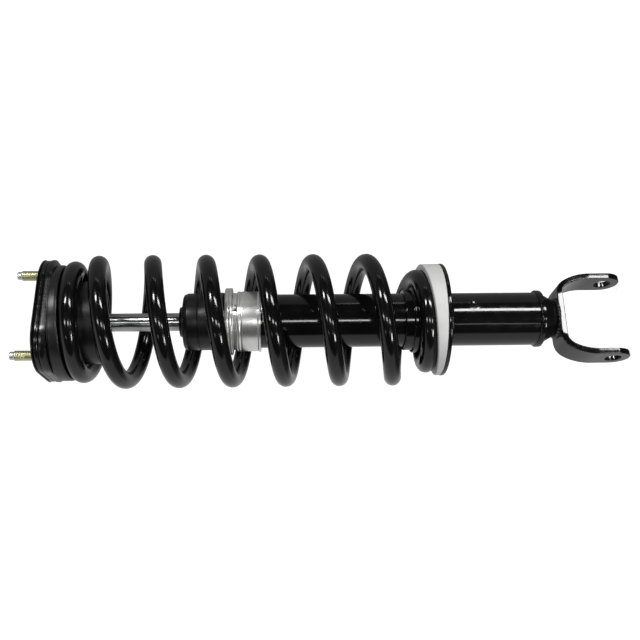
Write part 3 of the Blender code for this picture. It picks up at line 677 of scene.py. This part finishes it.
def lower_spring_seat():
    """A dished disc with a stepped hub round the tube, and the weld under it."""
    foot, top = span("lower_spring_seat")
    bore = TUBE_R + 0.1
    plate_foot, plate_top = 169.9, 174.1
    outline = [
        (bore, foot),
        (29.0, foot, 0.8),
        (32.2, plate_foot, 1.6),
        (44.0, plate_foot, 3.0),
        (47.0, plate_foot + 0.9, 2.0),
        (51.5, plate_foot + 0.9, 2.0),
        (56.4, plate_foot + 0.2, 1.3),
        (56.4, plate_top, 1.2),
        (34.6, plate_top, 0.7),
        (33.0, plate_top + 1.3, 1.3),
        (33.0, 202.3, 1.4),
        (30.4, 202.3, 0.5),
        (30.4, top, 0.9),
        (bore, top, 0.5),
    ]
    turned("lower_spring_seat", outline, 144)
    weld_bead("weld_seat_to_tube", "lower_spring_seat", TUBE_R, foot + 0.6, size=3.0, lean=-0.9,
              ripples=70, seed=9)


# ---------------------------------------------------------------- spring and isolators

def coil_spring():
    """A round wire along the spring's centre line, with slightly chamfered cut ends."""
    shape = bmesh.new()
    first, last = SPRING_STATIONS[0][0], SPRING_STATIONS[-1][0]
    per_turn, sides = 60, 28
    steps = int((last - first) * per_turn)
    wire_r = WIRE_R - 0.05
    end_rings = ((0.0, 1.3), (0.15, 0.6), (0.6, 0.12))   # (distance from the cut, drawn in by)

    def frame_at(turn):
        along = (wire_point(min(turn + 0.002, last)) - wire_point(max(turn - 0.002, first))).normalized()
        angle = turn_angle(turn)
        outward = Vector((math.cos(angle), math.sin(angle), 0.0))
        outward = (outward - along * outward.dot(along)).normalized()
        return along, outward, along.cross(outward)

    stops = []
    for index in range(1, steps):
        turn = first + (last - first) * index / steps
        stops.append((wire_point(turn), turn, wire_r))
    start = [(wire_point(first) + frame_at(first)[0] * away, first, wire_r - inset)
             for away, inset in end_rings]
    finish = [(wire_point(last) - frame_at(last)[0] * away, last, wire_r - inset)
              for away, inset in reversed(end_rings)]
    rings = []
    for place, turn, radius in start + stops + finish:
        _, outward, upward = frame_at(turn)
        ring = []
        for side in range(sides):
            spin = 2 * math.pi * side / sides
            reach = outward * math.cos(spin) + upward * math.sin(spin)
            ring.append(shape.verts.new(place + reach * radius))
        rings.append(ring)
    for here, there in zip(rings, rings[1:]):
        for side in range(sides):
            following = (side + 1) % sides
            shape.faces.new((here[side], here[following], there[following], there[side]))
    shape.faces.new(rings[0])
    shape.faces.new(rings[-1])
    return piece(shape, "coil_spring")


def helical_piece(node, section, first, last):
    """A ring whose section changes with the turn, with a step where it meets itself."""
    shape = bmesh.new()
    sections = 220
    loops = []
    for index in range(sections):
        turn = first + (last - first) * index / (sections - 1)
        angle = turn_angle(turn)
        loops.append([
            shape.verts.new((radius * math.cos(angle), radius * math.sin(angle), height))
            for radius, height in rounded(section(turn))
        ])
    for here, there in zip(loops, loops[1:] + loops[:1]):
        for index in range(len(here)):
            following = (index + 1) % len(here)
            shape.faces.new((here[index], there[index], there[following], here[following]))
    return piece(shape, node)


def nest_section(turn):
    """The lower isolator: a rounded rim, and a groove that follows the wire."""
    rim = read_stations(NEST_RIM_STATIONS, turn, 1)
    height, radius = wire_centre(max(turn, SPRING_STATIONS[0][0]))
    outside, bore = 56.0, 33.4
    edge = outside - 2.6
    points = [
        (bore, SEAT_STEEL_TOP, 0.6),
        (outside, SEAT_STEEL_TOP, 0.5),
        (outside, rim - 0.1, 1.3),
    ]
    samples = 26              # points across the groove
    for index in range(samples):
        place = edge + (bore - edge) * index / (samples - 1)
        across = place - radius
        groove = rim
        if abs(across) < WIRE_ROOM:
            groove = height - math.sqrt(WIRE_ROOM ** 2 - across ** 2)
        points.append((place, min(rim, groove)))
    return points


def lower_spring_isolator():
    """The ring with a helical nest for the spring's lower end."""
    first, last = NEST_RIM_STATIONS[0][0] + 0.003, NEST_RIM_STATIONS[-1][0] - 0.003
    return helical_piece("lower_spring_isolator", nest_section, first, last)


def ramp_section(turn):
    """The upper isolator: centring skirt, and a face that follows the wire's top."""
    height, _ = wire_centre(min(max(turn, 0.5), SPRING_STATIONS[-1][0]))
    face = height + WIRE_R + 0.4
    band_top = 547.4
    skirt_foot, skirt_bore, skirt_out = 508.0, 37.5, 40.8
    return [
        (skirt_bore, skirt_foot, 0.8),
        (skirt_out, skirt_foot, 1.4),
        (skirt_out, face, 1.0),
        (56.4, face, 1.2),
        (57.0, min(face + 2.6, band_top - 0.9), 0.5),
        (57.0, band_top, 0.7),
        (55.0, band_top + 0.6, 0.4),
        (55.0, ISOLATOR_TOP, 0.3),
        (skirt_bore, ISOLATOR_TOP, 0.5),
    ]


def upper_spring_isolator():
    """The ring and skirt that the spring's upper end turns round."""
    return helical_piece("upper_spring_isolator", ramp_section, 0.252, 1.238)


# ---------------------------------------------------------------- damper's top, rod and bumper

def strike_cap():
    """The zinc-plated sleeve over the tube's end, with its slotted neck and turned-out foot."""
    foot, top = span("strike_cap")
    bore = TUBE_R + 0.15
    neck_r, roof_foot, roof_step = 28.4, 377.5, 373.3
    outline = [
        (bore, foot, 0.2),
        (30.5, foot, 0.5),
        (30.5, foot + 1.9, 0.5),
        (29.8, foot + 3.0, 0.6),
        (29.9, foot + 7.0, 2.0),
        (29.9, 370.0, 0.8),
        (29.6, 371.0, 0.8),
        (29.6, 371.8, 0.8),
        (29.9, 372.8, 0.8),
        (29.9, 375.0, 1.3),
        (neck_r, 375.4, 0.3),
        (neck_r, top, 0.4),
        (13.0, top, 0.4),
        (13.0, roof_foot),
        (24.0, roof_foot),
        (24.0, roof_step),
        (bore, roof_step),
    ]
    cap = turned("strike_cap", outline, 144)
    cutters = [box_shape((9.0, 7.0, 4.4), (neck_r, 0, roof_foot), math.radians(-83.0 + turn))
               for turn in (0.0, 120.0, 240.0)]
    cutters.append(box_shape((3.0, 2.4, 2.6), (31.0, 0, foot + 1.0), math.radians(-112.0)))
    return cut_with(cap, cutters)


def strike_ring():
    """The ring on the strike cap, with a fine groove round its rim."""
    foot, top = span("strike_ring")
    outline = [
        (12.0, foot, 0.4),
        (33.4, foot, 0.7),
        (33.4, foot + 2.7, 0.4),
        (32.9, foot + 3.2, 0.4),
        (33.2, foot + 3.7, 0.4),
        (33.2, top, 0.9),
        (12.0, top, 0.4),
    ]
    return turned("strike_ring", outline, 144)


def jounce_bumper():
    """The bumper on the rod: a lip at its foot, a seam, a domed shoulder and a small collar."""
    foot, top = span("jounce_bumper")
    bore = ROD_R + 0.4
    outline = [
        (bore, foot, 0.6),
        (28.0, foot, 0.5),
        (29.0, 389.4, 1.4),
        (28.8, 393.0, 2.0),
        (28.3, 396.5, 2.0),
        (28.3, 411.5, 0.5),
        (27.7, 412.1, 0.3),
        (27.7, 412.9, 0.3),
        (28.3, 413.5, 0.5),
        (28.3, 423.2, 2.4),
        (26.6, 427.6, 2.6),
        (17.0, 428.9, 1.2),
        (15.1, 430.0, 0.9),
        (14.6, top, 1.2),
        (bore, top, 0.8),
    ]
    return turned("jounce_bumper", outline, 128)


def held(value):
    """A value kept between 0 and 1."""
    return min(1.0, max(0.0, value))


def threaded(below, above, major, depth, start, end):
    """An outline that runs upwards, with a single-start thread that fades at both of its ends."""
    def reach(angle, height):
        phase = (height / THREAD_PITCH - angle / (2 * math.pi)) % 1.0
        cut = held(1.7 * abs(phase - 0.5) * 2 - 0.2)
        fade = held((height - start) / THREAD_PITCH) * held((end - height) / THREAD_PITCH)
        return major - depth * (1.0 - cut) * fade

    rows = int((end - start) / THREAD_PITCH * 8)
    heights = [start + (end - start) * index / rows for index in range(rows + 1)]
    return below + [(lambda angle, z=z: reach(angle, z), z) for z in heights] + above


def from_flat(angle):
    """How far an angle is from the middle of a hexagon's nearest side."""
    return (angle + math.pi / 6) % (math.pi / 3) - math.pi / 6


def piston_rod():
    """Chromed rod with turned-down ends: a threaded top with a hexagon socket, and the piston's stem."""
    foot, top = span("piston_rod")
    thread_foot, thread_top = 564.0, top - 1.4

    def socket(angle):
        return 2.6 / math.cos(from_flat(angle))

    below = rounded([
        (0.0, foot), (5.5, foot, 0.6), (5.5, 310.0, 0.3), (ROD_R, 310.0, 0.8),
        (ROD_R, 541.0, 0.8), (THREAD_R, 541.0, 0.3), (THREAD_R, thread_foot - 0.5),
    ], False)
    above = [(THREAD_R - 0.9, top - 0.3), (THREAD_R - 1.4, top), (socket, top), (socket, top - 6.0),
             (0.0, top - 7.0)]
    outline = threaded(below, above, THREAD_R, 0.75, thread_foot, thread_top)
    return piece(lathe(outline, 60, closed=False), "piston_rod")


# ---------------------------------------------------------------- upper mount

@functools.lru_cache(maxsize=None)
def mount_reach(angle):
    """Distance from the axis, at an angle, to the band drawn tight round the corner circles."""
    nearest = math.inf
    for step in range(-160, 161):
        lean = math.radians(step * 0.375)
        out = Vector((math.cos(angle + lean), math.sin(angle + lean)))
        edge = max(out.dot(Vector((x, y))) + radius for x, y, radius in MOUNT_CORNERS)
        nearest = min(nearest, edge / math.cos(lean))
    return nearest


def shrunk(reach, inset):
    """An outline drawn in by a distance."""
    return lambda angle: reach(angle) - inset


def capped(reach, limit):
    """An outline that never goes past a distance from the axis."""
    return lambda angle: min(reach(angle), limit)


def stud_holes(radius, foot, top):
    """Cutters for the holes that the three studs pass through."""
    return [rod_shape(radius, foot - 1.0, top + 1.0, on_circle(STUD_CIRCLE_R, degrees), 32)
            for degrees in STUD_ANGLES]


def mount_upper_plate():
    """Stamped plate with round corners, a shallow groove inside its rim and a step round its hole."""
    foot, top = span("mount_upper_plate")
    rim = [(shrunk(mount_reach, inset), height) for inset, height in (
        (1.1, foot),
        (0.3, foot + 0.35),
        (0.0, foot + 0.9),
        (0.25, top - 0.5),
        (0.9, top - 0.12),
        (2.2, top - 0.1),
        (3.4, top - 0.45),
        (4.6, top - 0.45),
        (5.8, top),
    )]
    outline = [
        (19.5, foot + 0.1),
        (20.0, foot),
        *rim,
        (25.5, top),
        (24.4, top - 0.5),
        (20.4, top - 0.5),
        (19.5, top - 0.9),
    ]
    plate = piece(lathe(outline, 180), "mount_upper_plate")
    return cut_with(plate, stud_holes(5.05, foot, top))


def mount_cushion():
    """The rubber sheet between the mount's two plates: a round hole inside, a rounded rim outside."""
    foot, top = span("mount_cushion")
    edge, edge_round = shrunk(mount_reach, 0.6), 1.1
    bore, bore_round = 27.8, 0.4
    rim = []
    for step in range(7):
        along = math.pi * step / 6
        inset = edge_round * (1 - math.sin(along))
        height = foot + (top - foot) * (1 - math.cos(along)) / 2
        rim.append((shrunk(edge, inset), height))
    outline = [(bore, foot + bore_round), (bore + bore_round, foot), *rim,
               (bore + bore_round, top), (bore, top - bore_round)]
    return cut_with(piece(lathe(outline, 180), "mount_cushion"), stud_holes(8.3, foot, top))


def mount_lower_plate():
    """Flange with a rounded rim, drawn in at its foot, and the can that holds the bonded rubber."""
    can_foot, top = span("mount_lower_plate")
    flange_foot, flange_waist, rim_round = 549.5, 553.2, 1.5
    drawn_in = capped(shrunk(mount_reach, 0.3), 58.0)
    rim = [(shrunk(drawn_in, 0.8), flange_foot), (shrunk(drawn_in, 0.1), flange_foot + 0.6),
           (mount_reach, flange_waist)]
    for step in range(5):
        along = math.pi / 2 * step / 4
        inset = rim_round * (1 - math.cos(along))
        rim.append((shrunk(mount_reach, inset), top - rim_round * (1 - math.sin(along))))
    outline = [
        (25.3, can_foot + 0.4),
        (25.7, can_foot),
        (27.0, can_foot),
        (27.5, can_foot + 0.6),
        (27.5, flange_foot - 0.4),
        (27.9, flange_foot),
        *rim,
        (25.7, top),
        (25.3, top - 0.4),
    ]
    return piece(lathe(outline, 220), "mount_lower_plate")


def mount_studs():
    """Threaded studs with a dog point; the head is pressed in under the plate."""
    foot, top = span("mount_stud_1")
    plate_foot = span("mount_upper_plate")[0]
    below = rounded([(0.0, foot), (8.0, foot, 0.5), (8.0, plate_foot - 0.3, 0.4), (4.95, plate_foot - 0.3),
                     (4.95, 565.6, 0.3), (4.75, 566.0)], False)
    above = rounded([(4.7, top - 4.7), (3.9, top - 3.8, 0.5), (3.9, top - 0.1, 0.7), (2.6, top, 0.3),
                     (1.2, top - 0.5, 0.2), (0.0, top - 0.6)], False)
    outline = threaded(below, above, 4.88, 0.25, 566.5, top - 5.0)
    for count, degrees in enumerate(STUD_ANGLES, start=1):
        shape = lathe(outline, 36, closed=False)
        bmesh.ops.translate(shape, vec=(*on_circle(STUD_CIRCLE_R, degrees), 0.0), verts=shape.verts)
        piece(shape, f"mount_stud_{count}")


def mount_bush():
    """The bonded rubber and its inner sleeve."""
    foot, top = span("mount_bush_rubber")
    outline = [
        (11.7, foot + 0.8, 0.6),
        (20.0, foot, 1.6),
        (25.1, 546.5, 1.0),
        (25.1, 560.8, 1.0),
        (21.6, top, 0.9),
        (18.6, 560.2, 1.6),
        (15.0, 560.2, 1.6),
        (13.2, top - 0.2, 0.7),
        (11.7, top - 0.2, 0.3),
    ]
    turned("mount_bush_rubber", outline)
    low, high = span("mount_inner_sleeve")
    turned("mount_inner_sleeve", [(7.3, low, 0.3), (11.5, low, 0.6), (11.5, high, 0.5), (7.3, high, 0.3)], 72)


def bumper_cup():
    """The pressed cup on the rod that the bumper closes up against."""
    foot, top = span("bumper_cup")
    outline = [
        (7.3, top - CUP_WALL, 0.2),
        (31.0, top - CUP_WALL, 1.0),
        (31.0, foot + 0.2, 0.3),
        (31.6, foot, 0.3),
        (33.0, foot + 0.5, 0.5),
        (33.0, top, 2.2),
        (7.3, top, 0.3),
    ]
    return turned("bumper_cup", outline)


def top_washer():
    """The washer under the rod's nut."""
    foot, top = span("top_washer")
    outline = [(7.3, foot, 0.2), (18.0, foot, 0.6), (18.0, top - 0.5, 0.6), (16.4, top, 1.0),
               (7.3, top, 0.3)]
    return turned("top_washer", outline)


def hexagon(across_flats):
    """A hexagon's radius at an angle, with its corners slightly rounded."""
    def reach(angle):
        return min(across_flats / 2 / math.cos(from_flat(angle)), across_flats / 2 * 1.135)
    return reach


def hexagon_nut(node, across_flats, bore):
    """A nut with chamfered corners and a countersunk thread."""
    foot, top = span(node)
    reach = hexagon(across_flats)
    inner = across_flats / 2 * 0.97
    outline = [
        (bore, foot + 0.7),
        (bore + 0.7, foot),
        (inner, foot),
        (capped(reach, inner + 1.0), foot + 0.55),
        (reach, foot + 1.1),
        (reach, top - 1.1),
        (capped(reach, inner + 1.0), top - 0.55),
        (inner, top),
        (bore + 0.7, top),
        (bore, top - 0.7),
    ]
    return piece(lathe(outline, 144), node)


def strut():
    """All the fine pieces that stand for CAD nodes."""
    clevis_yoke()
    base_cup()
    body_tube()
    lower_spring_seat()
    nest = lower_spring_isolator()
    spring = coil_spring()
    ramp = upper_spring_isolator()
    strike_cap()
    strike_ring()
    bumper = jounce_bumper()
    piston_rod()
    mount_upper_plate()
    mount_cushion()
    mount_lower_plate()
    mount_studs()
    mount_bush()
    bumper_cup()
    top_washer()
    hexagon_nut("rod_nut", 21.0, 7.1)
    return nest, spring, ramp, bumper


def follow_stroke(nest, spring, ramp, bumper):
    """Gives the spring, its two isolators and the bumper each a mesh of their own."""
    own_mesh(nest)
    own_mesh(spring)
    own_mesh(ramp)
    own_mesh(bumper)


# ---------------------------------------------------------------- studio

# The photograph's view: image right is down the strut, image up is UP, and the camera looks from TOWARD.
VIEW_TURN = math.radians(18.9)
RIGHT = Vector((0, 0, -1))
UP = Vector((math.cos(VIEW_TURN), -math.sin(VIEW_TURN), 0))
TOWARD = Vector((-math.sin(VIEW_TURN), -math.cos(VIEW_TURN), 0))
VIEW_CENTRE = 0.2962      # height on the strut, in metres, that view places are measured from
LAMPS_TOWARD = 1.2        # how far all the lamps stand off towards the camera's side, in metres


def view_place(right, up, toward):
    """A place given along the view's directions, in metres."""
    return Vector((0, 0, VIEW_CENTRE)) + RIGHT * right + UP * up + TOWARD * toward


def view_axes():
    """The view's directions, as a rotation."""
    return Matrix((RIGHT, UP, TOWARD)).transposed()


def add_camera():
    """The camera at the photograph's place, aimed a little off the view's own directions."""
    data = bpy.data.cameras.new("camera")
    data.lens = 47.24         # millimetres, as is the sensor's width
    data.sensor_width = 36.0
    data.clip_start = 0.01
    data.clip_end = 50.0
    camera = bpy.data.objects.new("camera", data)
    bpy.context.scene.collection.objects.link(camera)
    yaw, pitch, roll = -0.0538, 0.0189, -0.0105   # radians
    aim = (Matrix.Rotation(yaw, 3, "Y") @ Matrix.Rotation(pitch, 3, "X") @ Matrix.Rotation(roll, 3, "Z"))
    camera.matrix_world = Matrix.Translation(view_place(-0.04222, -0.01519, 0.8399)) @ (
        view_axes() @ aim
    ).to_4x4()
    bpy.context.scene.camera = camera


def add_lamp(name, right, up, wide, high, radiance):
    """A flat lamp on the camera's side that shines at the strut. Sizes are in metres."""
    data = bpy.data.lights.new(name, "AREA")
    data.shape = "RECTANGLE"
    data.size = wide
    data.size_y = high
    data.energy = radiance * math.pi * wide * high
    lamp = bpy.data.objects.new(name, data)
    bpy.context.scene.collection.objects.link(lamp)
    lamp.matrix_world = Matrix.Translation(view_place(right, up, LAMPS_TOWARD)) @ view_axes().to_4x4()
    lamp.visible_camera = False


def add_lamps():
    """Lamps in rows along the strut, where its highlights show them, and two far ones above."""
    for name, right, wide, radiance in (("upper_left", -0.69, 0.46, 32.0), ("upper_right", 0.80, 0.74, 24.0)):
        add_lamp(name, right, 1.02, wide, 0.36, radiance)
        add_lamp(name + "_far", right, 5.2, wide, 1.6, 2.4)
    for name, right, wide, radiance in (("middle_left", -0.74, 0.30, 18.0), ("middle", 0.10, 0.34, 13.0),
                                        ("middle_right", 0.85, 0.30, 18.0)):
        add_lamp(name, right, -0.03, wide, 0.11, radiance)
    add_lamp("middle_gap", 0.48, -0.47, 0.30, 0.05, 4.0)
    add_lamp("lower_right", 1.03, -0.69, 0.44, 0.34, 24.0)
    add_lamp("lower_left", -0.8, -0.66, 0.22, 0.12, 4.0)


def add_world():
    """Pale surroundings behind the strut, dimmer above and under it, and a dark camera's side."""
    world = bpy.data.worlds.new("studio")
    bpy.context.scene.world = world
    world.use_nodes = True
    nodes, links = world.node_tree.nodes, world.node_tree.links
    coords = nodes.new("ShaderNodeTexCoord")

    def along(direction):
        share = nodes.new("ShaderNodeVectorMath")
        share.operation = "DOT_PRODUCT"
        links.new(coords.outputs["Generated"], share.inputs[0])
        share.inputs[1].default_value = direction
        return share.outputs["Value"]

    # Above is 0 under the strut and 1 over it, and sets the strength behind the strut and where it ends.
    above = ranged(nodes, links, along(UP), 0.0, 1.0, -0.2, 0.2)
    behind = ranged(nodes, links, above, 0.62, 0.24, 0.0, 1.0)
    edge = ranged(nodes, links, above, 0.41, 0.24, 0.0, 1.0)
    past = nodes.new("ShaderNodeMath")
    past.operation = "SUBTRACT"
    links.new(along(TOWARD), past.inputs[0])
    links.new(edge, past.inputs[1])
    share = nodes.new("ShaderNodeMapRange")
    share.interpolation_type = "SMOOTHSTEP"
    share.inputs["From Min"].default_value = -0.07
    share.inputs["From Max"].default_value = 0.07
    links.new(behind, share.inputs["To Min"])
    share.inputs["To Max"].default_value = 0.028
    links.new(past.outputs["Value"], share.inputs["Value"])
    below = ranged(nodes, links, along(RIGHT), 1.0, 0.12, 0.5, 0.75)
    dimmed = nodes.new("ShaderNodeMath")
    dimmed.operation = "MULTIPLY"
    links.new(share.outputs["Result"], dimmed.inputs[0])
    links.new(below, dimmed.inputs[1])
    seen = nodes.new("ShaderNodeLightPath")
    strength = nodes.new("ShaderNodeMix")
    strength.data_type = "FLOAT"
    links.new(seen.outputs["Is Camera Ray"], strength.inputs["Factor"])
    links.new(dimmed.outputs["Value"], strength.inputs["A"])
    strength.inputs["B"].default_value = 1.08
    background = nodes["Background"]
    background.inputs["Color"].default_value = (1.0, 1.0, 1.0, 1.0)
    links.new(strength.outputs["Result"], background.inputs["Strength"])


def add_floor():
    """A plain pale floor under the clevis."""
    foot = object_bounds()[0].z
    shape = bmesh.new()
    bmesh.ops.create_grid(shape, x_segments=1, y_segments=1, size=12.0)
    mesh = bpy.data.meshes.new("floor")
    shape.to_mesh(mesh)
    shape.free()
    floor = bpy.data.objects.new("floor", mesh)
    bpy.context.scene.collection.objects.link(floor)
    floor.location = (0, 0, foot - 0.0005)
    material, nodes, links, coords = node_kit("floor")
    shader = nodes["Principled BSDF"]
    shader.inputs["Roughness"].default_value = 0.9
    tone = noise_of(nodes, links, coords.outputs["Object"], 2.0)
    links.new(tinted(nodes, links, tone, (0.86, 0.86, 0.86), (0.88, 0.88, 0.88)), shader.inputs["Base Color"])
    shader.inputs["Emission Color"].default_value = (1, 1, 1, 1)
    shader.inputs["Emission Strength"].default_value = 0.75
    mesh.materials.append(material)
    floor.visible_glossy = False
    floor.visible_diffuse = False
    floor.visible_shadow = False


repaint_frame()
follow_stroke(*strut())
add_camera()
add_lamps()
add_world()
add_floor()
bpy.context.scene.view_settings.view_transform = "Standard"
